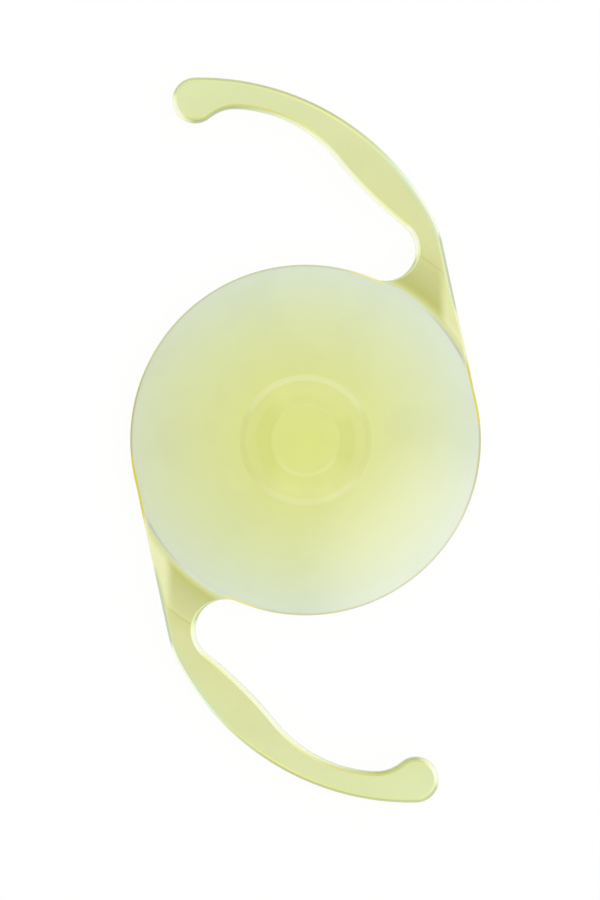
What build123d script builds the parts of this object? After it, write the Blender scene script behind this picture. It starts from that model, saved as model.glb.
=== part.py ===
from build123d import *
from math import asin, atan2, degrees, sqrt
import os

# One-piece foldable intraocular lens: a biconvex optic with two loop-shaped haptics
# (flat arms), moulded and cut as a single piece of clear, faintly yellow acrylic.
# +Z is the optical axis with the anterior face up, and +Y is the longer side of the plan.
# The origin is on the axis, at the lowest point of the posterior face.
# Lengths are in millimetres and bearings in degrees, counter-clockwise from +X.

# Overall sizes
optic_diameter = 6.0
overall_diameter = 13.0
optic_centre_thickness = 0.63
optic_edge_thickness = 0.21
haptic_thickness = 0.42
haptic_edge_radius = 0.09

# Raised zones at the middle of the anterior face, each with a sloping step round it
plateau_diameter = 2.26
plateau_step_width = 0.11
plateau_rise = 0.003
core_diameter = 1.26
core_step_width = 0.065
core_rise = 0.002

# Root of a haptic: a land as thin as the optic's edge, then a ramp to full thickness
root_land_width = 0.18
root_ramp_length = 0.52

# Outer side of a haptic in plan: straight flank, shoulder and bow, then the round tip
flank_bearing = 12.2
flank_length = 2.82
shoulder_radius = 1.56
shoulder_turn = 15.4
tip_radius = 0.39
tip_bearing = 108.0

# Inner side in plan: elbow beside the tip, loop, waist and the eye beside the root
elbow_radius = 0.68
loop_radius = 2.29
slim_width = 0.455
slim_distance = 1.45
waist_radius = 7.65
eye_radius = 0.52
neck_width = 0.46

# How far a bounding form runs past the piece
overrun = 1.0

optic_radius = optic_diameter / 2
overall_radius = overall_diameter / 2
land_end = optic_radius + root_land_width
ramp_end = land_end + root_ramp_length
cap_sag = (optic_centre_thickness - optic_edge_thickness - plateau_rise - core_rise) / 2
cap_radius = (optic_radius**2 + cap_sag**2) / (2 * cap_sag)
edge_top = cap_sag + optic_edge_thickness
mid_height = cap_sag + optic_edge_thickness / 2
haptic_bottom = mid_height - haptic_thickness / 2
haptic_top = mid_height + haptic_thickness / 2
ramp_rise = (haptic_thickness - optic_edge_thickness) / 2
edge_rounding = min(haptic_edge_radius, ramp_rise)


def polar(radius, bearing):
    return Vector(radius, 0).rotate(Axis.Z, bearing)


def bearing_of(start, end):
    step = end - start
    return degrees(atan2(step.Y, step.X))


def circle_crossing(centre_a, reach_a, centre_b, reach_b):
    """The point at the two reaches from two centres, on the left of the way from a to b."""
    span = centre_b - centre_a
    along = (span.length**2 + reach_a**2 - reach_b**2) / (2 * span.length)
    across = sqrt(reach_a**2 - along**2)
    ahead = span.normalized()
    return centre_a + ahead * along + ahead.rotate(Axis.Z, 90) * across


def arc_about(centre, radius, start_bearing, end_bearing, turn):
    """An arc between two bearings; turn is 1 for counter-clockwise and -1 for clockwise."""
    sweep = turn * ((turn * (end_bearing - start_bearing)) % 360)
    return CenterArc(centre, radius, start_bearing, sweep)


def haptic_outline():
    """One haptic's edges in plan, each tangent to the next, and the optic's rim after it.

    They run from the flank's start on the rim, round the tip, to the eye, which touches
    the rim, and on along the rim to where the other haptic starts.
    """
    centre = Vector(0, 0)
    outward = polar(1, flank_bearing)
    along = polar(1, flank_bearing + 90)

    # The bow leaves the shoulder where its turn ends, and holds and touches the tip's circle.
    tip = polar(overall_radius - tip_radius, tip_bearing)
    shoulder = outward * (optic_radius - shoulder_radius) + along * flank_length
    bow_start = flank_bearing + shoulder_turn
    reach = tip - shoulder
    radius_step = shoulder_radius - tip_radius
    across = polar(1, bow_start).dot(reach) - radius_step
    shoulder_to_bow = (radius_step**2 - reach.length**2) / (2 * across)
    bow = shoulder - polar(shoulder_to_bow, bow_start)
    bow_radius = shoulder_radius + shoulder_to_bow
    bow_end = bearing_of(bow, tip)

    # The haptic is slimmest at a distance along the bow from its tip. There the loop lies
    # inside the bow at the slim width. The eye lies a neck's width inside the flank.
    slim_bearing = bow_end - degrees(slim_distance / bow_radius)
    loop = bow + polar(bow_radius - loop_radius - slim_width, slim_bearing)
    elbow = circle_crossing(tip, tip_radius + elbow_radius, loop, loop_radius - elbow_radius)
    eye_inset = optic_radius - neck_width - eye_radius
    eye = outward * eye_inset + along * sqrt((optic_radius + eye_radius) ** 2 - eye_inset**2)
    waist = circle_crossing(loop, loop_radius + waist_radius, eye, eye_radius + waist_radius)

    tip_end = bearing_of(tip, elbow)
    loop_start = bearing_of(loop, elbow)
    loop_end = bearing_of(loop, waist)
    eye_start = bearing_of(eye, waist)
    eye_end = bearing_of(eye, centre)
    return [
        Line(outward * optic_radius, outward * optic_radius + along * flank_length),
        arc_about(shoulder, shoulder_radius, flank_bearing, bow_start, 1),
        arc_about(bow, bow_radius, bow_start, bow_end, 1),
        arc_about(tip, tip_radius, bow_end, tip_end, 1),
        arc_about(elbow, elbow_radius, tip_end + 180, loop_start, -1),
        arc_about(loop, loop_radius, loop_start, loop_end, -1),
        arc_about(waist, waist_radius, loop_end + 180, eye_start + 180, 1),
        arc_about(eye, eye_radius, eye_start, eye_end, -1),
        arc_about(centre, optic_radius, eye_end + 180, flank_bearing + 180, 1),
    ]


def plan_face():
    """The whole lens in plan: the second haptic is the first one turned half round."""
    half = haptic_outline()
    other_half = [edge.rotate(Axis.Z, 180) for edge in half]
    return Face(Wire(half + other_half))


def cap_arc(vertex_height, inner_radius, outer_radius):
    """A stretch of a cap's section that bulges upwards, between two distances from the axis."""
    inner_angle = degrees(asin(inner_radius / cap_radius))
    outer_angle = degrees(asin(outer_radius / cap_radius))
    cap_centre = (0, vertex_height - cap_radius)
    return CenterArc(cap_centre, cap_radius, 90 - outer_angle, outer_angle - inner_angle)


def section_face():
    """Half of the section through the axis, with the haptics' plate carried past the tips."""
    core_vertex = optic_centre_thickness
    plateau_vertex = core_vertex - core_rise
    rim_vertex = plateau_vertex - plateau_rise
    core_radius = core_diameter / 2
    plateau_radius = plateau_diameter / 2

    core_cap = cap_arc(core_vertex, 0, core_radius - core_step_width)
    plateau_cap = cap_arc(plateau_vertex, core_radius, plateau_radius - plateau_step_width)
    rim_cap = cap_arc(rim_vertex, plateau_radius, optic_radius)
    posterior_cap = mirror(cap_arc(0, 0, optic_radius), Plane.XZ)
    plateau_step = Line(rim_cap @ 1, plateau_cap @ 0)
    core_step = Line(plateau_cap @ 1, core_cap @ 0)

    plate_end = overall_radius + overrun
    plate = Polyline(
        (optic_radius, cap_sag),
        (land_end, cap_sag),
        (ramp_end, haptic_bottom),
        (plate_end, haptic_bottom),
        (plate_end, haptic_top),
        (ramp_end, haptic_top),
        (land_end, edge_top),
        (optic_radius, edge_top),
    )
    axis_line = Line((0, 0), (0, optic_centre_thickness))
    caps = [rim_cap, plateau_step, plateau_cap, core_step, core_cap]
    return make_face([posterior_cap, plate, *caps, axis_line])


def rounded_plate():
    """The plan at the haptics' thickness, with its upper and lower edges rounded over."""
    plate = extrude(Pos(0, 0, haptic_bottom) * plan_face(), haptic_thickness)
    edges_by_height = plate.edges().group_by(Axis.Z)
    return fillet(edges_by_height[0] + edges_by_height[-1], edge_rounding)


def make_lens():
    """The turned section cut to the plan, and to the rounded plate past the optic.

    The rounding starts where a ramp is as far below the haptic's face as its radius.
    """
    turned = revolve(Plane.XZ * section_face(), Axis.Z, 360)
    height = optic_centre_thickness + overrun
    plan_block = extrude(plan_face(), height, both=True)
    square_edged_radius = ramp_end - root_ramp_length * edge_rounding / ramp_rise
    square_edged_core = Cylinder(square_edged_radius, 2 * height)
    return turned & plan_block & (rounded_plate() + square_edged_core)


os.makedirs("parts", exist_ok=True)
export_step(make_lens(), "parts/intraocular_lens.step")
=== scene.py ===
import math

import bpy
import numpy as np
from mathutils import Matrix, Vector
from mathutils.geometry import delaunay_2d_cdt


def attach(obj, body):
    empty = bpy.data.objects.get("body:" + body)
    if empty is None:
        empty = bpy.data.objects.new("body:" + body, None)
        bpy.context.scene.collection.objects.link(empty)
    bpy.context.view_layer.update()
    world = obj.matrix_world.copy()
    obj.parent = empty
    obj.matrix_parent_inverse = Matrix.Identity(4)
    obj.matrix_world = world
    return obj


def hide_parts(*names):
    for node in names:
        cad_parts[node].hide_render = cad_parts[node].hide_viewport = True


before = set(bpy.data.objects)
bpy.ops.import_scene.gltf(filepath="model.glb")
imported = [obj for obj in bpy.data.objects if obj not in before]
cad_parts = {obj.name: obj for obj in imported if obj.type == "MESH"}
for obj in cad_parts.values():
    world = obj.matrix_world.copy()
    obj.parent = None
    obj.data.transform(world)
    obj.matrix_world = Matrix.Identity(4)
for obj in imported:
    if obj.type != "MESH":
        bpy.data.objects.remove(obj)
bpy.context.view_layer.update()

# One-piece foldable intraocular lens, seen from in front as it lies on a pale surface.
# Its shape is worked out in millimetres and bearings in degrees, as the frame's own solid is,
# and is turned into metres when a mesh is made. +Z is the optical axis, anterior side up.
MM = 0.001
LENS_NODE = "intraocular_lens"
EDGE_SHARE = "edge_share"
EDGE_WAY = "edge_way"

# Sizes of the lens
OPTIC_RADIUS = 3.0
OVERALL_RADIUS = 6.5
CENTRE_THICKNESS = 0.63
RIM_THICKNESS = 0.21
HAPTIC_THICKNESS = 0.42
PLATEAU_RADIUS = 1.13
PLATEAU_STEP = 0.11
PLATEAU_RISE = 0.003
CORE_RADIUS = 0.63
CORE_STEP = 0.065
CORE_RISE = 0.002
LAND_WIDTH = 0.18
RAMP_LENGTH = 0.52
FLANK_BEARING = 12.2
FLANK_LENGTH = 2.82
SHOULDER_RADIUS = 1.56
SHOULDER_TURN = 15.4
TIP_RADIUS = 0.39
TIP_BEARING = 108.0
ELBOW_RADIUS = 0.68
LOOP_RADIUS = 2.29
SLIM_WIDTH = 0.455
SLIM_DISTANCE = 1.45
WAIST_RADIUS = 7.65
EYE_RADIUS = 0.52
NECK_WIDTH = 0.46
HAPTIC_ROUNDING = 0.09
RIM_ROUNDING = 0.012

LAND_END = OPTIC_RADIUS + LAND_WIDTH
RAMP_END = LAND_END + RAMP_LENGTH
CAP_SAG = (CENTRE_THICKNESS - RIM_THICKNESS - PLATEAU_RISE - CORE_RISE) / 2
CAP_RADIUS = (OPTIC_RADIUS**2 + CAP_SAG**2) / (2 * CAP_SAG)
MID_HEIGHT = CAP_SAG + RIM_THICKNESS / 2
RAMP_RISE = (HAPTIC_THICKNESS - RIM_THICKNESS) / 2

# How finely the mesh follows the shape
OUTLINE_STEP = 0.035
FACE_STEP = 0.06
ZONE_RING_STEP = FACE_STEP / 2
ROUNDING_STEPS = 5
# A point of the grid or the outline closer than this share of a step to a fixed one is left out
LEAST_GRID_GAP = 0.55
LEAST_OUTLINE_GAP = 0.45
CREASE_HALVINGS = 40
MERGE_DISTANCE = 1e-7
# Nearer to the axis than this, a face is level
LEVEL_RADIUS = 1e-9
# How much of the central steps' tilt shows in the shading, as the mould softens them
STEP_TILT_SHOWS = 0.3

# Looks of the clear acrylic, which takes up blue light along its depth (per metre)
ACRYLIC_IOR = 1.55
BLUE_ABSORPTION = 600
DEPTH_COLOUR = (1.0, 1.0, 0.0)
SHADOW_COLOUR = (0.95, 0.97, 1.0)
EDGE_ROUGHNESS = 0.12
# How far from mid-height the anterior's and the posterior's looks blend into each other
SIDES_FADE = 0.05
# Shares of mirrored light between which the posterior starts to mirror
POSTERIOR_MIRRORS = (0.1, 0.5)
BLACK = (0.0, 0.0, 0.0)
WHITE = (1.0, 1.0, 1.0)

# The tables below give tints, and painted light and shade, by a distance or a bearing. Each pair
# says where a look starts to show and where it shows fully. Bearings are those of the upper
# haptic, and the lower half of the lens repeats them.

# Tint by the distance from the axis: the optic, the land, painted shade at the foot of the ramp,
# the ramp growing paler up to a thin line of painted shade at the crease at its head, and the
# haptic
FACE_TINTS_AND_RAMP_SHADE = (
    (0.00, (0.735, 0.775, 0.33)),
    (1.00, (0.725, 0.770, 0.39)),
    (1.60, (0.720, 0.770, 0.475)),
    (2.10, (0.718, 0.778, 0.55)),
    (2.90, (0.705, 0.785, 0.69)),
    (3.00, (0.70, 0.77, 0.70)),
    (3.05, (0.69, 0.735, 0.51)),
    (3.08, (0.68, 0.72, 0.31)),
    (3.15, (0.57, 0.58, 0.21)),
    (3.21, (0.555, 0.575, 0.21)),
    (3.40, (0.605, 0.625, 0.305)),
    (3.60, (0.65, 0.66, 0.355)),
    (3.68, (0.68, 0.70, 0.385)),
    (3.705, (0.59, 0.60, 0.27)),
    (3.73, (0.67, 0.69, 0.36)),
    (3.95, (0.715, 0.74, 0.44)),
    (5.00, (0.72, 0.76, 0.49)),
    (6.40, (0.75, 0.82, 0.565)),
)
# Painted highlight: the paler strip along each flank, bounded on its inner side and at both of its
# ends
FLANK_HIGHLIGHT_TINT = (0.81, 0.84, 0.51)
FLANK_HIGHLIGHT_SIDE = (2.25, 2.43)
FLANK_HIGHLIGHT_START = (3.04, 3.16)
FLANK_HIGHLIGHT_END = (3.9, 3.6)

# Painted light and shade on the haptics' rounded edges, by the bearing they face, on the inner
# half of the rounding and on its outer half
INNER_EDGE_LIGHT_AND_SHADE = (
    (0, (0.73, 0.79, 0.52)),
    (14, (0.73, 0.79, 0.52)),
    (20, (0.66, 0.76, 0.67)),
    (30, (0.66, 0.76, 0.67)),
    (38, (0.63, 0.81, 0.76)),
    (48, (0.76, 0.82, 0.47)),
    (60, (0.88, 0.88, 0.42)),
    (72, (0.80, 0.82, 0.43)),
    (84, (0.76, 0.81, 0.48)),
    (108, (0.76, 0.82, 0.50)),
    (135, (0.72, 0.79, 0.47)),
    (160, (0.78, 0.84, 0.50)),
    (180, (0.90, 0.96, 0.80)),
    (192, (0.94, 0.965, 0.97)),
    (218, (0.94, 0.965, 0.97)),
    (232, (0.88, 0.91, 0.50)),
    (250, (0.76, 0.715, 0.285)),
    (270, (0.67, 0.66, 0.25)),
    (300, (0.66, 0.685, 0.285)),
    (320, (0.63, 0.66, 0.26)),
    (360, (0.63, 0.66, 0.26)),
)
OUTER_EDGE_LIGHT_AND_SHADE = (
    (0, (0.55, 0.63, 0.54)),
    (14, (0.55, 0.63, 0.54)),
    (19, (0.94, 0.97, 0.94)),
    (34, (0.94, 0.97, 0.94)),
    (40, (0.82, 0.93, 0.80)),
    (48, (0.66, 0.74, 0.49)),
    (60, (0.54, 0.57, 0.38)),
    (80, (0.56, 0.62, 0.37)),
    (108, (0.61, 0.68, 0.42)),
    (135, (0.56, 0.63, 0.39)),
    (158, (0.56, 0.64, 0.42)),
    (174, (0.90, 0.96, 0.80)),
    (184, (0.95, 0.97, 0.98)),
    (234, (0.95, 0.97, 0.98)),
    (250, (0.74, 0.88, 0.76)),
    (270, (0.46, 0.55, 0.35)),
    (300, (0.48, 0.57, 0.36)),
    (320, (0.57, 0.66, 0.45)),
    (360, (0.57, 0.66, 0.45)),
)
# Shares of the rounding, counted from the face, at which the edge's painted light and shade and
# that of its outer half set in, and the distance from the axis within which the rim's painted
# shade and glints cover them
EDGE_STARTS = (0.05, 0.2)
OUTER_EDGE_STARTS = (0.45, 0.6)
RIM_EDGE_ENDS = (3.04, 3.01)

# Painted shade and glints on the fine line round the optic, by the bearing of the place; it lies
# further out on the roots
RIM_SHADE_AND_GLINTS = (
    (0, (0.56, 0.54, 0.30)),
    (3, (0.56, 0.54, 0.30)),
    (7, (0.74, 0.65, 0.09)),
    (13, (0.74, 0.65, 0.09)),
    (17, (0.70, 0.77, 0.66)),
    (24, (0.70, 0.77, 0.66)),
    (29, (0.56, 0.58, 0.50)),
    (42, (0.63, 0.66, 0.56)),
    (48, (0.70, 0.77, 0.66)),
    (62, (0.70, 0.77, 0.66)),
    (65, (0.84, 0.80, 0.34)),
    (71, (0.84, 0.80, 0.34)),
    (79, (0.63, 0.65, 0.465)),
    (152, (0.63, 0.65, 0.465)),
    (164, (0.56, 0.54, 0.30)),
    (180, (0.56, 0.54, 0.30)),
)
RIM_LINE_WIDTH = 0.035
RIM_LINE_INNER = (OPTIC_RADIUS - 1.3 * RIM_LINE_WIDTH, OPTIC_RADIUS - 0.7 * RIM_LINE_WIDTH)
RIM_LINE_OUTER = (OPTIC_RADIUS + 0.02, OPTIC_RADIUS + 0.005)
ROOT_LINE_SHIFT = 0.04
ROOT_LINE_START = (22, 28)
ROOT_LINE_END = (62, 56)

# Painted glint: the line along the flank's edge where it leaves the optic, golden and then cream
FLANK_START_GLINT = (0.73, 0.64, 0.09)
FLANK_MIDDLE_GLINT = (0.87, 0.88, 0.56)
FLANK_GLINT_CHANGE = (23, 29)
FLANK_LINE_START = (3, 7)
FLANK_LINE_END = (43, 39)
FLANK_LINE_WIDTH = 0.05
FLANK_LINE_INNER = (OPTIC_RADIUS - FLANK_LINE_WIDTH, OPTIC_RADIUS - FLANK_LINE_WIDTH + 0.015)

# Central zones. Their steps have a painted highlight above and below and painted shade to the
# sides, by factors on the tint. Each line on where a step is lit gives two sines of the bearing,
# and how much it is lit at each. The fades are in widths of the step, inwards from its outer
# radius.
STEP_HIGHLIGHT_FACTORS = (1.055, 1.05, 1.29)
STEP_SHADE_FACTORS = (0.975, 0.972, 0.96)
STEP_INNER_FADE = (1.2, 0.8)
STEP_OUTER_FADE = (-0.1, 0.25)
CORE_STEP_SHOWS = 0.7
CORE_LIT_ABOVE = (0.45, 0.90, 0.0, 0.6)
CORE_LIT_BELOW = (-0.35, -0.70, 0.0, 1.0)
PLATEAU_STEP_SHOWS = 1.0
PLATEAU_LIT_ABOVE = (0.30, 0.62, 0.0, 1.0)
PLATEAU_LIT_BELOW = (-0.45, -0.80, 0.0, 0.7)
# The flat between the steps has a painted highlight above and below. To the sides it has a
# dark crescent of painted shade beside the core, the left one reaching further round, and is a
# little darker outside that, also by painted shade.
FLAT_HIGHLIGHT_FACTORS = (1.03, 1.03, 1.07)
FLAT_BRIGHT_SINES = (0.75, 0.95)
FLAT_BRIGHT_START = (CORE_RADIUS + 0.05, CORE_RADIUS + 0.25)
FLAT_BRIGHT_END = (PLATEAU_RADIUS, PLATEAU_RADIUS - PLATEAU_STEP)
BESIDE_CORE_SINES = (0.85, 0.45)
CRESCENT_SHADE_FACTORS = (0.935, 0.945, 0.83)
CRESCENT_LEFTWARD = 0.12
CRESCENT_START = (CORE_RADIUS - CORE_STEP, CORE_RADIUS)
CRESCENT_OUTSIDE = 0.85
CRESCENT_FADE = 0.03
CRESCENT_END = (CRESCENT_OUTSIDE + CRESCENT_FADE, CRESCENT_OUTSIDE - CRESCENT_FADE)
FLAT_SIDE_SHADE_FACTORS = (0.965, 0.97, 0.96)
FLAT_SIDE_START = (CRESCENT_OUTSIDE - CRESCENT_FADE, CRESCENT_OUTSIDE + CRESCENT_FADE)
FLAT_SIDE_END = (PLATEAU_RADIUS + 0.01, PLATEAU_RADIUS - 0.02)
# Least distance from the axis that a bearing's sine is worked out with
LEAST_RADIUS = 1e-3

# Painted shade: how the optic grows darker and yellower towards its left side
LEFT_SIDE_SHADE_FACTORS = (1.0, 0.975, 0.89)
LEFT_SIDE_GROWS = (-1.0, -OPTIC_RADIUS)
OPTIC_END = (OPTIC_RADIUS, OPTIC_RADIUS - 0.02)
# Faint clouding left by the mould
CLOUD_FACTORS = (0.97, 0.97, 0.97)
CLOUD_SIZE = 0.9
CLOUD_DETAIL = 3.0
CLOUD_LEVELS = (0.35, 0.75)

# The numbers of a Mix node's sockets for colours
MIX_INPUTS = (6, 7)
MIX_OUTPUT = 2

# Floor of pale paper, in metres
FLOOR_SIZE = 0.4
FLOOR_COLOUR = (0.93, 0.93, 0.93)
FLOOR_GLOW = 1.02
FLOOR_GLOW_SHARE = 0.9

# Camera above the lens, from the photograph's size and the place of the optic's centre in it
PIXELS_WIDE = 600
PIXELS_HIGH = 900
OPTIC_PIXEL_X = 305.02
OPTIC_PIXEL_Y = 439.55
PIXELS_PER_MM = 58.4
LENS_LENGTH = 250.0
SENSOR_SIDE = 36.0
NEAREST_SEEN = 0.001
FURTHEST_SEEN = 2.0

# Studio light: an even pale room, brighter to both sides than above and below the picture,
# with a large soft box above the lower right and the room darkening towards the left
ROOM_LEVEL = 0.85
SIDE_LEVEL = 0.45
RIGHTWARD_RISE = 2.6
LEAST_LEVEL = 0.05
BOX_LEVEL = 2.2
BOX_TINT = (1.0, 0.90, 0.92)
BOX_DIRECTION = (0.219, -0.219, 0.951)
BOX_INNER_ANGLE = 2
BOX_OUTER_ANGLE = 14
# Light caught inside the thin lens bounces many times before it leaves at the edge
LIGHT_BOUNCES = 32


# Outline of the lens in plan

def polar(radius, bearing):
    angle = math.radians(bearing)
    return Vector((radius * math.cos(angle), radius * math.sin(angle)))


def bearing_of(start, end):
    step = end - start
    return math.degrees(math.atan2(step.y, step.x))


def circle_crossing(centre_a, reach_a, centre_b, reach_b):
    """The point at the two reaches from two centres, on the left of the way from a to b."""
    span = centre_b - centre_a
    along = (span.length**2 + reach_a**2 - reach_b**2) / (2 * span.length)
    across = math.sqrt(reach_a**2 - along**2)
    ahead = span.normalized()
    return centre_a + ahead * along + Vector((-ahead.y, ahead.x)) * across


def line_stretch(start, end, outward):
    """A straight stretch of the outline: its length, and its place and normal at a share."""
    return (end - start).length, lambda share: (start.lerp(end, share), outward)


def arc_stretch(centre, radius, start_bearing, end_bearing, turn):
    """A round stretch; turn is 1 where the outline bulges outwards and -1 where inwards."""
    sweep = turn * ((turn * (end_bearing - start_bearing)) % 360)

    def at(share):
        spoke = polar(1, start_bearing + sweep * share)
        return centre + spoke * radius, spoke * turn

    return radius * math.radians(abs(sweep)), at


def haptic_stretches():
    """One haptic's outline from its flank round the tip to the eye, and the optic's rim after."""
    centre = Vector((0, 0))
    outward = polar(1, FLANK_BEARING)
    along = polar(1, FLANK_BEARING + 90)
    tip = polar(OVERALL_RADIUS - TIP_RADIUS, TIP_BEARING)
    shoulder = outward * (OPTIC_RADIUS - SHOULDER_RADIUS) + along * FLANK_LENGTH
    bow_start = FLANK_BEARING + SHOULDER_TURN
    reach = tip - shoulder
    radius_step = SHOULDER_RADIUS - TIP_RADIUS
    across = polar(1, bow_start).dot(reach) - radius_step
    shoulder_to_bow = (radius_step**2 - reach.length_squared) / (2 * across)
    bow = shoulder - polar(shoulder_to_bow, bow_start)
    bow_radius = SHOULDER_RADIUS + shoulder_to_bow
    bow_end = bearing_of(bow, tip)
    slim_bearing = bow_end - math.degrees(SLIM_DISTANCE / bow_radius)
    loop = bow + polar(bow_radius - LOOP_RADIUS - SLIM_WIDTH, slim_bearing)
    elbow = circle_crossing(tip, TIP_RADIUS + ELBOW_RADIUS, loop, LOOP_RADIUS - ELBOW_RADIUS)
    eye_inset = OPTIC_RADIUS - NECK_WIDTH - EYE_RADIUS
    eye_along = math.sqrt((OPTIC_RADIUS + EYE_RADIUS) ** 2 - eye_inset**2)
    eye = outward * eye_inset + along * eye_along
    waist = circle_crossing(loop, LOOP_RADIUS + WAIST_RADIUS, eye, EYE_RADIUS + WAIST_RADIUS)
    tip_end = bearing_of(tip, elbow)
    loop_start = bearing_of(loop, elbow)
    loop_end = bearing_of(loop, waist)
    eye_start = bearing_of(eye, waist)
    eye_end = bearing_of(eye, centre)
    flank_start = outward * OPTIC_RADIUS
    return [
        line_stretch(flank_start, flank_start + along * FLANK_LENGTH, outward),
        arc_stretch(shoulder, SHOULDER_RADIUS, FLANK_BEARING, bow_start, 1),
        arc_stretch(bow, bow_radius, bow_start, bow_end, 1),
        arc_stretch(tip, TIP_RADIUS, bow_end, tip_end, 1),
        arc_stretch(elbow, ELBOW_RADIUS, tip_end + 180, loop_start, -1),
        arc_stretch(loop, LOOP_RADIUS, loop_start, loop_end, -1),
        arc_stretch(waist, WAIST_RADIUS, loop_end + 180, eye_start + 180, 1),
        arc_stretch(eye, EYE_RADIUS, eye_start, eye_end, -1),
        arc_stretch(centre, OPTIC_RADIUS, eye_end + 180, FLANK_BEARING + 180, 1),
    ]


def rounding_at(place):
    """Radius of the edge there: nearly sharp on the optic, and fuller past the ramp."""
    share = (place.length - OPTIC_RADIUS) / (RAMP_END - OPTIC_RADIUS)
    share = min(max(share, 0), 1)
    share = share * share * (3 - 2 * share)
    return RIM_ROUNDING + (HAPTIC_ROUNDING - RIM_ROUNDING) * share


def inner_radius(stretch_at, share):
    """How far from the axis the outline's point is once it is moved in by the rounding."""
    place, outward = stretch_at(share)
    return (place - outward * rounding_at(place)).length


def crease_shares(length, at):
    """Shares of a stretch at which the moved-in outline crosses one of the creases."""
    found = {}
    samples = max(int(length / OUTLINE_STEP), 2) * 2
    for crease in (OPTIC_RADIUS, LAND_END, RAMP_END):
        for i in range(samples):
            low, high = i / samples, (i + 1) / samples
            side = inner_radius(at, low) > crease
            if side == (inner_radius(at, high) > crease):
                continue
            for _ in range(CREASE_HALVINGS):
                middle = (low + high) / 2
                if (inner_radius(at, middle) > crease) == side:
                    low = middle
                else:
                    high = middle
            found[low] = crease
    return found


def outline_points():
    """Places, normals and creases (0 for none) all round the lens, counter-clockwise."""
    points = []
    for length, at in haptic_stretches():
        steps = max(round(length / OUTLINE_STEP), 2)
        least_gap = LEAST_OUTLINE_GAP / steps
        shares = {i / steps: 0 for i in range(steps)}
        for share, crease in crease_shares(length, at).items():
            for near in [s for s in shares if 0 < abs(s - share) < least_gap and s > 0]:
                del shares[near]
            shares[share] = crease
        for share in sorted(shares):
            place, outward = at(share)
            points.append((place, outward, shares[share]))
    other_half = [(-place, -outward, crease) for place, outward, crease in points]
    return points + other_half


def moved_in(point, share):
    """A point of the outline moved inwards by a share of the rounding there."""
    place, outward, _ = point
    return place - outward * rounding_at(place) * share


def crease_ends(outline):
    """Each crease across a root, as two positions in the outline and a distance from the axis."""
    crossings = {}
    for k, (_, _, crease) in enumerate(outline):
        if crease:
            crossings.setdefault((crease, k >= len(outline) / 2), []).append(k)
    for (crease, _), ends in crossings.items():
        if len(ends) != 2:
            raise ValueError(f"crease {crease} meets the outline at {len(ends)} places")
    return [(*ends, crease) for (crease, _), ends in crossings.items()]


# Heights and slopes of the two faces

def cap_height(radius):
    """Height of the optic's cap above the mid-plane, which goes on level past the optic."""
    drop = CAP_RADIUS - math.sqrt(CAP_RADIUS**2 - min(radius, OPTIC_RADIUS) ** 2)
    return CAP_SAG + RIM_THICKNESS / 2 - drop


def ramp_height(radius):
    """What the ramp adds to the height from the land outwards."""
    return RAMP_RISE * min(max((radius - LAND_END) / RAMP_LENGTH, 0), 1)


def top_height(radius):
    """Height of the anterior surface above the mid-plane, by the distance from the axis."""
    if radius > OPTIC_RADIUS:
        return cap_height(radius) + ramp_height(radius)
    plateau = min(max((PLATEAU_RADIUS - radius) / PLATEAU_STEP, 0), 1)
    core = min(max((CORE_RADIUS - radius) / CORE_STEP, 0), 1)
    return cap_height(radius) + plateau * PLATEAU_RISE + core * CORE_RISE


def bottom_height(radius):
    """Depth of the posterior surface below the mid-plane, as a negative height."""
    return -cap_height(radius) - ramp_height(radius)


def slope_at(radius, centre_radius, anterior):
    """Slope of the surface outwards; centre_radius says on which side of a crease it is."""
    if centre_radius < OPTIC_RADIUS:
        slope = -radius / math.sqrt(CAP_RADIUS**2 - radius**2)
        if anterior and PLATEAU_RADIUS - PLATEAU_STEP < centre_radius < PLATEAU_RADIUS:
            slope -= STEP_TILT_SHOWS * PLATEAU_RISE / PLATEAU_STEP
        if anterior and CORE_RADIUS - CORE_STEP < centre_radius < CORE_RADIUS:
            slope -= STEP_TILT_SHOWS * CORE_RISE / CORE_STEP
        return slope
    if LAND_END < centre_radius < RAMP_END:
        return RAMP_RISE / RAMP_LENGTH
    return 0.0


def face_normal_at(place, centre_radius, anterior):
    """Unit normal of the anterior or posterior surface at a place in plan."""
    radius = place.length
    slope = slope_at(radius, centre_radius, anterior)
    out = place / radius if radius > LEVEL_RADIUS else Vector((0, 0))
    up = Vector((-slope * out.x, -slope * out.y, 1)).normalized()
    return up if anterior else Vector((up.x, up.y, -up.z))


# Triangles over the plan

def ring_points(radius, step):
    """Points round the axis, about a step apart."""
    count = max(int(round(2 * math.pi * radius / step)), 6)
    return [polar(radius, 360 * i / count) for i in range(count)]


def inside(places, loop):
    """Which places the loop goes round, by how often it crosses a ray from each."""
    xs, ys = np.array([p[:] for p in places]).T
    found = np.zeros(len(xs), bool)
    for a, b in zip(loop, loop[1:] + loop[:1]):
        if a.y == b.y:
            continue
        spans = (ys < a.y) != (ys < b.y)
        found ^= spans & (xs < a.x + (ys - a.y) * (b.x - a.x) / (b.y - a.y))
    return found


def add_creases(places, edges, creases):
    """Adds each crease across a root: an arc between two of the loop's own points."""
    axis = Vector((0, 0))
    for start, end, radius in creases:
        first = bearing_of(axis, places[start])
        last = bearing_of(axis, places[end])
        sweep = (last - first + 180) % 360 - 180
        count = max(round(math.radians(abs(sweep)) * radius / OUTLINE_STEP), 1)
        chain = [start]
        for i in range(1, count):
            places.append(polar(radius, first + sweep * i / count))
            chain.append(len(places) - 1)
        chain.append(end)
        edges += list(zip(chain, chain[1:]))


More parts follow.
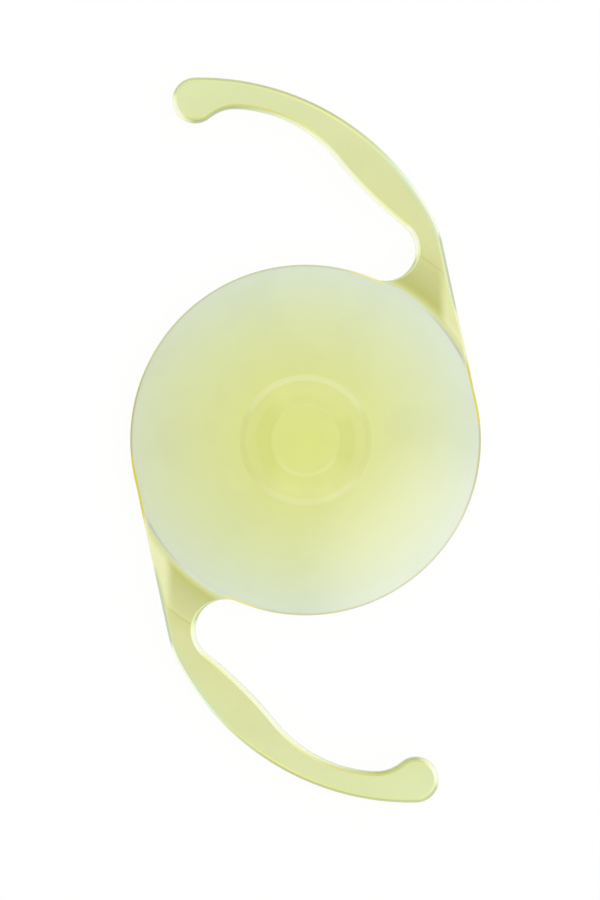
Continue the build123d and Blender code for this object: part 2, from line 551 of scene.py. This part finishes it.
def add_optic_rings(places, edges):
    """Adds rings of points over the optic; those at the central steps are kept as edges."""
    zone_radii = [
        CORE_RADIUS - CORE_STEP,
        CORE_RADIUS,
        PLATEAU_RADIUS - PLATEAU_STEP,
        PLATEAU_RADIUS,
    ]
    bounds = [0, *zone_radii, OPTIC_RADIUS]
    for inner, outer in zip(bounds, bounds[1:]):
        count = max(round((outer - inner) / FACE_STEP), 2)
        for i in range(1, count + 1):
            radius = inner + (outer - inner) * i / count
            if radius >= OPTIC_RADIUS:
                continue
            first = len(places)
            ring = ring_points(radius, ZONE_RING_STEP if radius in zone_radii else FACE_STEP)
            places += ring
            if radius in zone_radii:
                edges += [(first + k, first + (k + 1) % len(ring)) for k in range(len(ring))]
    places.append(Vector((0, 0)))


def add_haptic_grid(places, loop):
    """Adds a triangular grid of points over the haptics, away from the points already there."""
    fixed = np.array([p[:] for p in places])
    row_height = FACE_STEP * math.sqrt(3) / 2
    rows = int(OVERALL_RADIUS / row_height)
    columns = int(OPTIC_RADIUS / FACE_STEP) + 1
    grid = []
    for row in range(-rows, rows + 1):
        for column in range(-columns, columns + 1):
            place = Vector((column + (row % 2) / 2, 0)) * FACE_STEP + Vector((0, row * row_height))
            if place.length > OPTIC_RADIUS + FACE_STEP / 2:
                grid.append(place)
    for place, is_inside in zip(grid, inside(grid, loop)):
        if not is_inside:
            continue
        gap = np.hypot(fixed[:, 0] - place.x, fixed[:, 1] - place.y).min()
        if gap > FACE_STEP * LEAST_GRID_GAP:
            places.append(place)


def plan_triangles(loop, creases):
    """Places and triangles inside the loop, and which of the given places each one is."""
    places = list(loop)
    edges = [(i, (i + 1) % len(loop)) for i in range(len(loop))]
    add_creases(places, edges, creases)
    add_optic_rings(places, edges)
    add_haptic_grid(places, loop)
    found = delaunay_2d_cdt(places, edges, [], 0, MERGE_DISTANCE, True)
    places, triangles, sources = found[0], found[2], found[3]
    middles = [sum((places[i] for i in tri), Vector((0, 0))) / 3 for tri in triangles]
    kept = [list(tri) for tri, is_inside in zip(triangles, inside(middles, loop)) if is_inside]
    return places, kept, sources


def loop_spots(sources, count):
    """Where each point of the loop went in the triangulation."""
    spots = {}
    for index, source in enumerate(sources):
        for k in source:
            if k < count:
                spots[k] = index
    if len(spots) != count:
        raise ValueError("a point of the outline was lost")
    return spots


# Mesh of the lens

class LensShape:
    """The points, faces and exact normals of the lens, as they are gathered."""

    def __init__(self):
        self.points = []
        self.edge_shares = []
        self.edge_ways = []
        self.faces = []
        self.normals = []

    def add_point(self, place, height, edge_share=0.0, edge_way=(0, 0)):
        self.points.append((place.x * MM, place.y * MM, (MID_HEIGHT + height) * MM))
        self.edge_shares.append(edge_share)
        self.edge_ways.append((*edge_way, 0))
        return len(self.points) - 1

    def add_face(self, corners, normals):
        self.faces.append(corners)
        self.normals.append(normals)


def rounding_stages():
    """Stages of the rounding from the wall to the face: how far in, how far down, and the tilt."""
    stages = []
    for i in range(ROUNDING_STEPS + 1):
        angle = math.radians(90 * i / ROUNDING_STEPS)
        stages.append((1 - math.cos(angle), 1 - math.sin(angle), angle))
    return stages


def add_surface(shape, plan, triangles, anterior):
    """Adds the anterior or posterior surface and gives its points."""
    height = top_height if anterior else bottom_height
    points = [shape.add_point(place, height(place.length)) for place in plan]
    for tri in triangles:
        middle = sum((plan[i] for i in tri), Vector((0, 0))) / 3
        order = tri if anterior else tri[::-1]
        normals = [face_normal_at(plan[i], middle.length, anterior) for i in order]
        shape.add_face([points[i] for i in order], normals)
    return points


def add_rounding_rings(shape, outline, inner_ring, anterior):
    """Adds the rings of points of the rounding; the last of them is the surface's own."""
    height = top_height if anterior else bottom_height
    sign = 1 if anterior else -1
    rings = []
    for inward, drop, _ in rounding_stages()[:-1]:
        ring = []
        for point in outline:
            place = moved_in(point, inward)
            level = height(place.length) - sign * rounding_at(point[0]) * drop
            ring.append(shape.add_point(place, level, 1 - inward, point[1]))
        rings.append(ring)
    for index, (_, outward, _) in zip(inner_ring, outline):
        shape.edge_ways[index] = (*outward, 0)
    return [*rings, inner_ring]


def rounding_normal(point, angle, centre_radius, anterior):
    """Unit normal of the rounding, between the wall's and the surface's by the angle."""
    out = Vector((*point[1], 0))
    up = face_normal_at(moved_in(point, 1), centre_radius, anterior)
    return (out * math.cos(angle) + up * math.sin(angle)).normalized()


def add_rounding(shape, outline, inner_ring, anterior):
    """Adds the rounding round a surface and gives its outer ring."""
    rings = add_rounding_rings(shape, outline, inner_ring, anterior)
    angles = [angle for _, _, angle in rounding_stages()]
    for i in range(ROUNDING_STEPS):
        for k, point in enumerate(outline):
            nxt = (k + 1) % len(outline)
            middle = (moved_in(point, 1) + moved_in(outline[nxt], 1)) / 2
            corners = [(i, k), (i, nxt), (i + 1, nxt), (i + 1, k)]
            if not anterior:
                corners.reverse()
            normals = [
                rounding_normal(outline[b], angles[a], middle.length, anterior) for a, b in corners
            ]
            shape.add_face([rings[a][b] for a, b in corners], normals)
    return rings[0]


def add_side(shape, outline, plan, triangles, spots, anterior):
    """Adds one side of the lens, its surface and rounding, and gives its outer ring."""
    points = add_surface(shape, plan, triangles, anterior)
    inner_ring = [points[spots[k]] for k in range(len(outline))]
    return add_rounding(shape, outline, inner_ring, anterior)


def add_wall(shape, outline, top_ring, bottom_ring):
    """Adds the upright wall between the two roundings."""
    for k, (_, outward, _) in enumerate(outline):
        nxt = (k + 1) % len(outline)
        here = Vector((*outward, 0))
        there = Vector((*outline[nxt][1], 0))
        corners = [bottom_ring[k], bottom_ring[nxt], top_ring[nxt], top_ring[k]]
        shape.add_face(corners, [here, there, there, here])


def lens_mesh():
    """The whole lens as one closed mesh."""
    outline = outline_points()
    loop = [moved_in(point, 1) for point in outline]
    plan, triangles, sources = plan_triangles(loop, crease_ends(outline))
    spots = loop_spots(sources, len(outline))
    shape = LensShape()
    top_ring = add_side(shape, outline, plan, triangles, spots, True)
    bottom_ring = add_side(shape, outline, plan, triangles, spots, False)
    add_wall(shape, outline, top_ring, bottom_ring)

    mesh = bpy.data.meshes.new("lens")
    mesh.from_pydata(shape.points, [], shape.faces)
    edge_shares = mesh.attributes.new(EDGE_SHARE, "FLOAT", "POINT")
    edge_shares.data.foreach_set("value", shape.edge_shares)
    edge_ways = mesh.attributes.new(EDGE_WAY, "FLOAT_VECTOR", "POINT")
    edge_ways.data.foreach_set("vector", [part for way in shape.edge_ways for part in way])
    mesh.validate()
    mesh.shade_smooth()
    mesh.normals_split_custom_set([normal for face in shape.normals for normal in face])
    return mesh


# Steps of a node tree

def feed(tree, socket, value):
    """Sets a socket to a number, direction or colour, or links another node's output to it."""
    if isinstance(value, bpy.types.NodeSocket):
        tree.links.new(value, socket)
    elif socket.type == "RGBA":
        socket.default_value = (*value, 1)
    else:
        socket.default_value = value


def add_node(tree, kind, inputs):
    """A new node, with its inputs fed by their names or numbers."""
    node = tree.nodes.new(kind)
    for key, value in inputs.items():
        feed(tree, node.inputs[key], value)
    return node


def calculate(tree, operation, *values):
    """A Math node's result; each value is a number or another node's output."""
    node = tree.nodes.new("ShaderNodeMath")
    node.operation = operation
    for socket, value in zip(node.inputs, values):
        feed(tree, socket, value)
    return node.outputs[0]


def product(tree, first, *others):
    """Several values multiplied together."""
    for other in others:
        first = calculate(tree, "MULTIPLY", first, other)
    return first


def on_vectors(tree, operation, output, first, second):
    """An output of a Vector Math node for two vectors or colours."""
    node = tree.nodes.new("ShaderNodeVectorMath")
    node.operation = operation
    feed(tree, node.inputs[0], first)
    feed(tree, node.inputs[1], second)
    return node.outputs[output]


def parts_of(tree, vector):
    """The x, y and z of a vector output."""
    return add_node(tree, "ShaderNodeSeparateXYZ", {"Vector": vector}).outputs


def eased(tree, value, start, end, start_value=0.0, end_value=1.0):
    """A smooth step from one value to another as the first goes from start to end."""
    node = tree.nodes.new("ShaderNodeMapRange")
    node.interpolation_type = "SMOOTHSTEP"
    tree.links.new(value, node.inputs["Value"])
    node.inputs["From Min"].default_value = start
    node.inputs["From Max"].default_value = end
    node.inputs["To Min"].default_value = start_value
    node.inputs["To Max"].default_value = end_value
    return node.outputs["Result"]


def blended(tree, share, first, second):
    """A colour between two colours or colour outputs by a share."""
    node = tree.nodes.new("ShaderNodeMix")
    node.data_type = "RGBA"
    tree.links.new(share, node.inputs["Factor"])
    for number, colour in zip(MIX_INPUTS, (first, second)):
        feed(tree, node.inputs[number], colour)
    return node.outputs[MIX_OUTPUT]


def multiplied(tree, share, colour, factors):
    """The colour times a factor for each of its three parts, as far as the share says."""
    return on_vectors(tree, "MULTIPLY", 0, colour, blended(tree, share, WHITE, factors))


def tint_by(tree, value, tints):
    """A colour that follows the value through the given places, each with its colour."""
    start, end = tints[0][0], tints[-1][0]
    share = tree.nodes.new("ShaderNodeMapRange")
    tree.links.new(value, share.inputs["Value"])
    share.inputs["From Min"].default_value = start
    share.inputs["From Max"].default_value = end
    node = tree.nodes.new("ShaderNodeValToRGB")
    stops = node.color_ramp.elements
    while len(stops) < len(tints):
        stops.new(0.5)
    for stop, (place, colour) in zip(stops, tints):
        stop.position = (place - start) / (end - start)
        stop.color = (*colour, 1)
    tree.links.new(share.outputs["Result"], node.inputs[0])
    return node.outputs["Color"]


# Acrylic of the lens

def attribute_output(tree, name, output):
    node = tree.nodes.new("ShaderNodeAttribute")
    node.attribute_name = name
    return node.outputs[output]


def bearing_output(tree, x, y):
    """Bearing from 0 to 360 of a direction in plan."""
    angle = calculate(tree, "DEGREES", calculate(tree, "ARCTAN2", y, x))
    return calculate(tree, "FLOORED_MODULO", angle, 360.0)


class PlaceOnLens:
    """Where on the lens a point is, as node outputs in millimetres and degrees."""

    def __init__(self, tree):
        source = tree.nodes.new("ShaderNodeTexCoord")
        millimetres = tree.nodes.new("ShaderNodeVectorMath")
        millimetres.operation = "SCALE"
        millimetres.inputs["Scale"].default_value = 1 / MM
        tree.links.new(source.outputs["Object"], millimetres.inputs[0])
        self.vector = millimetres.outputs[0]
        self.x, self.y, self.z = parts_of(tree, self.vector)
        x_squared, y_squared = product(tree, self.x, self.x), product(tree, self.y, self.y)
        self.radius = calculate(tree, "SQRT", calculate(tree, "ADD", x_squared, y_squared))
        off_axis = calculate(tree, "MAXIMUM", self.radius, LEAST_RADIUS)
        self.cosine = calculate(tree, "DIVIDE", self.x, off_axis)
        self.sine = calculate(tree, "DIVIDE", self.y, off_axis)
        self.edge_share = attribute_output(tree, EDGE_SHARE, "Fac")

        # Turned to match the upper half, which the lower one repeats
        half = calculate(tree, "SIGN", self.y)
        self.turned_x = product(tree, self.x, half)
        self.turned_y = product(tree, self.y, half)
        self.bearing = bearing_output(tree, self.turned_x, self.turned_y)
        way_x, way_y, _ = parts_of(tree, attribute_output(tree, EDGE_WAY, "Vector"))
        facing_x, facing_y = product(tree, way_x, half), product(tree, way_y, half)
        self.faced_bearing = bearing_output(tree, facing_x, facing_y)


def face_with_highlight_strip(tree, at):
    """The faces' tint with painted shade on the ramps, and the painted highlight strip along each
    flank's root.
    """
    highlight_strip = product(
        tree,
        eased(tree, at.turned_x, *FLANK_HIGHLIGHT_SIDE),
        eased(tree, at.radius, *FLANK_HIGHLIGHT_START),
        eased(tree, at.radius, *FLANK_HIGHLIGHT_END),
    )
    return blended(tree, highlight_strip, tint_by(tree, at.radius, FACE_TINTS_AND_RAMP_SHADE), FLANK_HIGHLIGHT_TINT)


def with_zone_step(tree, at, face, outer, width, shows, lit_above, lit_below):
    """The face with one central step, with painted highlight above and below and painted shade to
    the sides.
    """
    above, below = eased(tree, at.sine, *lit_above), eased(tree, at.sine, *lit_below)
    lit = calculate(tree, "MAXIMUM", above, below)
    aside = calculate(tree, "SUBTRACT", 1.0, lit)
    band = product(
        tree,
        eased(tree, at.radius, *[outer - share * width for share in STEP_INNER_FADE]),
        eased(tree, at.radius, *[outer - share * width for share in STEP_OUTER_FADE]),
        shows,
    )
    face = multiplied(tree, product(tree, band, lit), face, STEP_HIGHLIGHT_FACTORS)
    return multiplied(tree, product(tree, band, aside), face, STEP_SHADE_FACTORS)


def with_zone_steps(tree, at, face):
    """The face with the painted highlight and shade of both central steps."""
    core = (CORE_RADIUS, CORE_STEP, CORE_STEP_SHOWS, CORE_LIT_ABOVE, CORE_LIT_BELOW)
    face = with_zone_step(tree, at, face, *core)
    plateau = (
        PLATEAU_RADIUS,
        PLATEAU_STEP,
        PLATEAU_STEP_SHOWS,
        PLATEAU_LIT_ABOVE,
        PLATEAU_LIT_BELOW,
    )
    return with_zone_step(tree, at, face, *plateau)


def with_zone_flat(tree, at, face):
    """The face with the flat between the steps, its painted highlight at the ends and its painted
    shade in the crescents and to the sides.
    """
    steepness = calculate(tree, "ABSOLUTE", at.sine)
    bright = product(
        tree,
        eased(tree, steepness, *FLAT_BRIGHT_SINES),
        eased(tree, at.radius, *FLAT_BRIGHT_START),
        eased(tree, at.radius, *FLAT_BRIGHT_END),
    )
    leaning = calculate(tree, "MULTIPLY_ADD", at.cosine, CRESCENT_LEFTWARD, steepness)
    beside = eased(tree, leaning, *BESIDE_CORE_SINES)
    crescent = product(
        tree,
        beside,
        eased(tree, at.radius, *CRESCENT_START),
        eased(tree, at.radius, *CRESCENT_END),
    )
    dark = product(
        tree,
        beside,
        eased(tree, at.radius, *FLAT_SIDE_START),
        eased(tree, at.radius, *FLAT_SIDE_END),
    )
    face = multiplied(tree, bright, face, FLAT_HIGHLIGHT_FACTORS)
    face = multiplied(tree, crescent, face, CRESCENT_SHADE_FACTORS)
    return multiplied(tree, dark, face, FLAT_SIDE_SHADE_FACTORS)


def with_left_side_shade(tree, at, face):
    """The face growing darker and yellower towards the optic's left side, by painted shade."""
    to_left = eased(tree, at.x, *LEFT_SIDE_GROWS)
    on_optic = eased(tree, at.radius, *OPTIC_END)
    return multiplied(tree, product(tree, to_left, on_optic), face, LEFT_SIDE_SHADE_FACTORS)


def with_clouding(tree, at, face):
    """The face with faint clouding."""
    inputs = {"Vector": at.vector, "Scale": 1 / CLOUD_SIZE, "Detail": CLOUD_DETAIL}
    cloud = add_node(tree, "ShaderNodeTexNoise", inputs).outputs[0]
    return multiplied(tree, eased(tree, cloud, *CLOUD_LEVELS), face, CLOUD_FACTORS)


def with_rim_line(tree, at, face, rim_shade_and_glint):
    """The face with the fine line of painted shade and glints round the optic."""
    root_start = eased(tree, at.bearing, *ROOT_LINE_START)
    root_end = eased(tree, at.bearing, *ROOT_LINE_END)
    on_root = product(tree, root_start, root_end)
    place = calculate(tree, "MULTIPLY_ADD", on_root, -ROOT_LINE_SHIFT, at.radius)
    line = product(tree, eased(tree, place, *RIM_LINE_INNER), eased(tree, place, *RIM_LINE_OUTER))
    return blended(tree, line, face, rim_shade_and_glint)


def with_flank_line(tree, at, face, flank_glint, near_optic):
    """The face with the painted glint line along the flank's edge, up to where the root ends."""
    way = polar(1, FLANK_BEARING)
    reach = calculate(tree, "MULTIPLY_ADD", at.turned_x, way.x, product(tree, at.turned_y, way.y))
    line = product(
        tree,
        near_optic,
        eased(tree, at.bearing, *FLANK_LINE_START),
        eased(tree, reach, *FLANK_LINE_INNER),
    )
    return blended(tree, line, face, flank_glint)


def edge_light_and_shade(tree, at, rim_shade_and_glint, flank_glint, near_optic):
    """The rounded edges' painted light and shade: two across the rounding, by the bearing that
    they face.
    """
    tint = blended(
        tree,
        eased(tree, at.edge_share, *OUTER_EDGE_STARTS),
        tint_by(tree, at.faced_bearing, INNER_EDGE_LIGHT_AND_SHADE),
        tint_by(tree, at.faced_bearing, OUTER_EDGE_LIGHT_AND_SHADE),
    )
    tint = blended(tree, near_optic, tint, flank_glint)
    return blended(tree, eased(tree, at.radius, *RIM_EDGE_ENDS), tint, rim_shade_and_glint)


def lens_tint_and_painted_light(tree, at):
    """The tint all over the lens, faces and edges, with its painted light and shade."""
    rim_shade_and_glint = tint_by(tree, at.bearing, RIM_SHADE_AND_GLINTS)
    glint_change = eased(tree, at.bearing, *FLANK_GLINT_CHANGE)
    flank_glint = blended(tree, glint_change, FLANK_START_GLINT, FLANK_MIDDLE_GLINT)
    near_optic = eased(tree, at.bearing, *FLANK_LINE_END)
    face = face_with_highlight_strip(tree, at)
    face = with_zone_steps(tree, at, face)
    face = with_zone_flat(tree, at, face)
    face = with_left_side_shade(tree, at, face)
    face = with_clouding(tree, at, face)
    face = with_rim_line(tree, at, face, rim_shade_and_glint)
    face = with_flank_line(tree, at, face, flank_glint, near_optic)
    edge = edge_light_and_shade(tree, at, rim_shade_and_glint, flank_glint, near_optic)
    return blended(tree, eased(tree, at.edge_share, *EDGE_STARTS), face, edge)


def acrylic_surface(tree):
    """The clear surface, tinted and given painted light and shade on the anterior side only."""
    at = PlaceOnLens(tree)
    anterior = eased(tree, at.z, MID_HEIGHT - SIDES_FADE, MID_HEIGHT + SIDES_FADE)
    # A surface lets through the square root of its colour
    tint = lens_tint_and_painted_light(tree, at)
    colour = blended(tree, anterior, WHITE, on_vectors(tree, "MULTIPLY", 0, tint, tint))
    # The posterior mirrors only at a slant, so that the light above shows once
    fresnel = add_node(tree, "ShaderNodeFresnel", {"IOR": ACRYLIC_IOR}).outputs[0]
    slanted = eased(tree, fresnel, *POSTERIOR_MIRRORS)
    mirror = calculate(tree, "MAXIMUM", anterior, slanted)
    inputs = {
        "Base Color": colour,
        "Roughness": eased(tree, at.edge_share, *EDGE_STARTS, 0.0, EDGE_ROUGHNESS),
        "Specular Tint": blended(tree, mirror, BLACK, WHITE),
        "Transmission Weight": 1.0,
        "IOR": ACRYLIC_IOR,
    }
    return add_node(tree, "ShaderNodeBsdfPrincipled", inputs).outputs[0]


def lens_material():
    """Clear acrylic that lets shadow rays through and takes up blue in its depth."""
    material = bpy.data.materials.new("clear_acrylic")
    material.use_nodes = True
    tree = material.node_tree
    tree.nodes.clear()
    shadow = add_node(tree, "ShaderNodeBsdfTransparent", {"Color": SHADOW_COLOUR}).outputs[0]
    is_shadow = tree.nodes.new("ShaderNodeLightPath").outputs["Is Shadow Ray"]
    shaders = {0: is_shadow, 1: acrylic_surface(tree), 2: shadow}
    surface = add_node(tree, "ShaderNodeMixShader", shaders).outputs[0]
    inputs = {"Color": DEPTH_COLOUR, "Density": BLUE_ABSORPTION}
    depth = add_node(tree, "ShaderNodeVolumeAbsorption", inputs).outputs[0]
    add_node(tree, "ShaderNodeOutputMaterial", {"Surface": surface, "Volume": depth})
    return material


# Floor, camera and light

def seen_rays(tree):
    """1 for the rays that see the floor, straight, mirrored or through glass; else 0."""
    path = tree.nodes.new("ShaderNodeLightPath")
    total = path.outputs["Is Camera Ray"]
    for name in ("Is Glossy Ray", "Is Transmission Ray"):
        total = calculate(tree, "MAXIMUM", total, path.outputs[name])
    return total


def paper_material():
    """Matte paper that looks white to the rays that see it and keeps the lens's shadow."""
    material = bpy.data.materials.new("pale_paper")
    material.use_nodes = True
    tree = material.node_tree
    tree.nodes.clear()
    matte = add_node(tree, "ShaderNodeBsdfDiffuse", {"Color": FLOOR_COLOUR}).outputs[0]
    glow = add_node(tree, "ShaderNodeEmission", {"Strength": FLOOR_GLOW}).outputs[0]
    share = product(tree, seen_rays(tree), FLOOR_GLOW_SHARE)
    surface = add_node(tree, "ShaderNodeMixShader", {0: share, 1: matte, 2: glow}).outputs[0]
    add_node(tree, "ShaderNodeOutputMaterial", {"Surface": surface})
    return material


def camera_above():
    """A camera straight above, with the optic's centre where the photograph has it."""
    data = bpy.data.cameras.new("camera")
    data.lens = LENS_LENGTH
    data.sensor_width = SENSOR_SIDE
    data.clip_start = NEAREST_SEEN
    data.clip_end = FURTHEST_SEEN
    height = MID_HEIGHT + PIXELS_HIGH / PIXELS_PER_MM * LENS_LENGTH / SENSOR_SIDE
    x = ((PIXELS_WIDE - 1) / 2 - OPTIC_PIXEL_X) / PIXELS_PER_MM
    y = (OPTIC_PIXEL_Y - (PIXELS_HIGH - 1) / 2) / PIXELS_PER_MM
    above = bpy.data.objects.new("camera", data)
    above.location = (x * MM, y * MM, height * MM)
    bpy.context.scene.collection.objects.link(above)
    return above


def room_level(sky, way):
    """How bright the room is in a direction."""
    x, y, z = parts_of(sky, way)
    rise = product(sky, x, product(sky, z, z), RIGHTWARD_RISE)
    sides = calculate(sky, "SUBTRACT", product(sky, x, x), product(sky, y, y))
    level = calculate(sky, "MULTIPLY_ADD", sides, SIDE_LEVEL, ROOM_LEVEL)
    return calculate(sky, "MAXIMUM", calculate(sky, "ADD", level, rise), LEAST_LEVEL)


def box_level(sky, way):
    """How bright the soft box is in a direction."""
    outer = math.cos(math.radians(BOX_OUTER_ANGLE))
    inner = math.cos(math.radians(BOX_INNER_ANGLE))
    towards_box = on_vectors(sky, "DOT_PRODUCT", "Value", way, BOX_DIRECTION)
    return product(sky, eased(sky, towards_box, outer, inner), BOX_LEVEL)


def studio_world():
    """The room's light and the soft box's, by the direction that they come from."""
    world = bpy.data.worlds.new("studio")
    world.use_nodes = True
    sky = world.node_tree
    way = sky.nodes.new("ShaderNodeTexCoord").outputs["Generated"]
    room = sky.nodes["Background"]
    feed(sky, room.inputs["Color"], WHITE)
    feed(sky, room.inputs["Strength"], room_level(sky, way))
    inputs = {"Color": BOX_TINT, "Strength": box_level(sky, way)}
    box = add_node(sky, "ShaderNodeBackground", inputs)
    both = add_node(sky, "ShaderNodeAddShader", {0: room.outputs[0], 1: box.outputs[0]})
    feed(sky, sky.nodes["World Output"].inputs["Surface"], both.outputs[0])
    return world


# The scene

lens = bpy.data.objects.new("lens", lens_mesh())
bpy.context.scene.collection.objects.link(lens)
lens.data.materials.append(lens_material())
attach(lens, "root")
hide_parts(LENS_NODE)

bpy.ops.mesh.primitive_plane_add(size=FLOOR_SIZE, location=(0, 0, 0))
floor = bpy.context.object
floor.name = "floor"
floor.data.materials.append(paper_material())

camera = camera_above()
bpy.context.scene.camera = camera
bpy.context.scene.world = studio_world()
bpy.context.scene.cycles.max_bounces = LIGHT_BOUNCES
bpy.context.scene.cycles.glossy_bounces = LIGHT_BOUNCES
bpy.context.scene.cycles.transmission_bounces = LIGHT_BOUNCES

bpy.context.scene.view_settings.view_transform = "Standard"
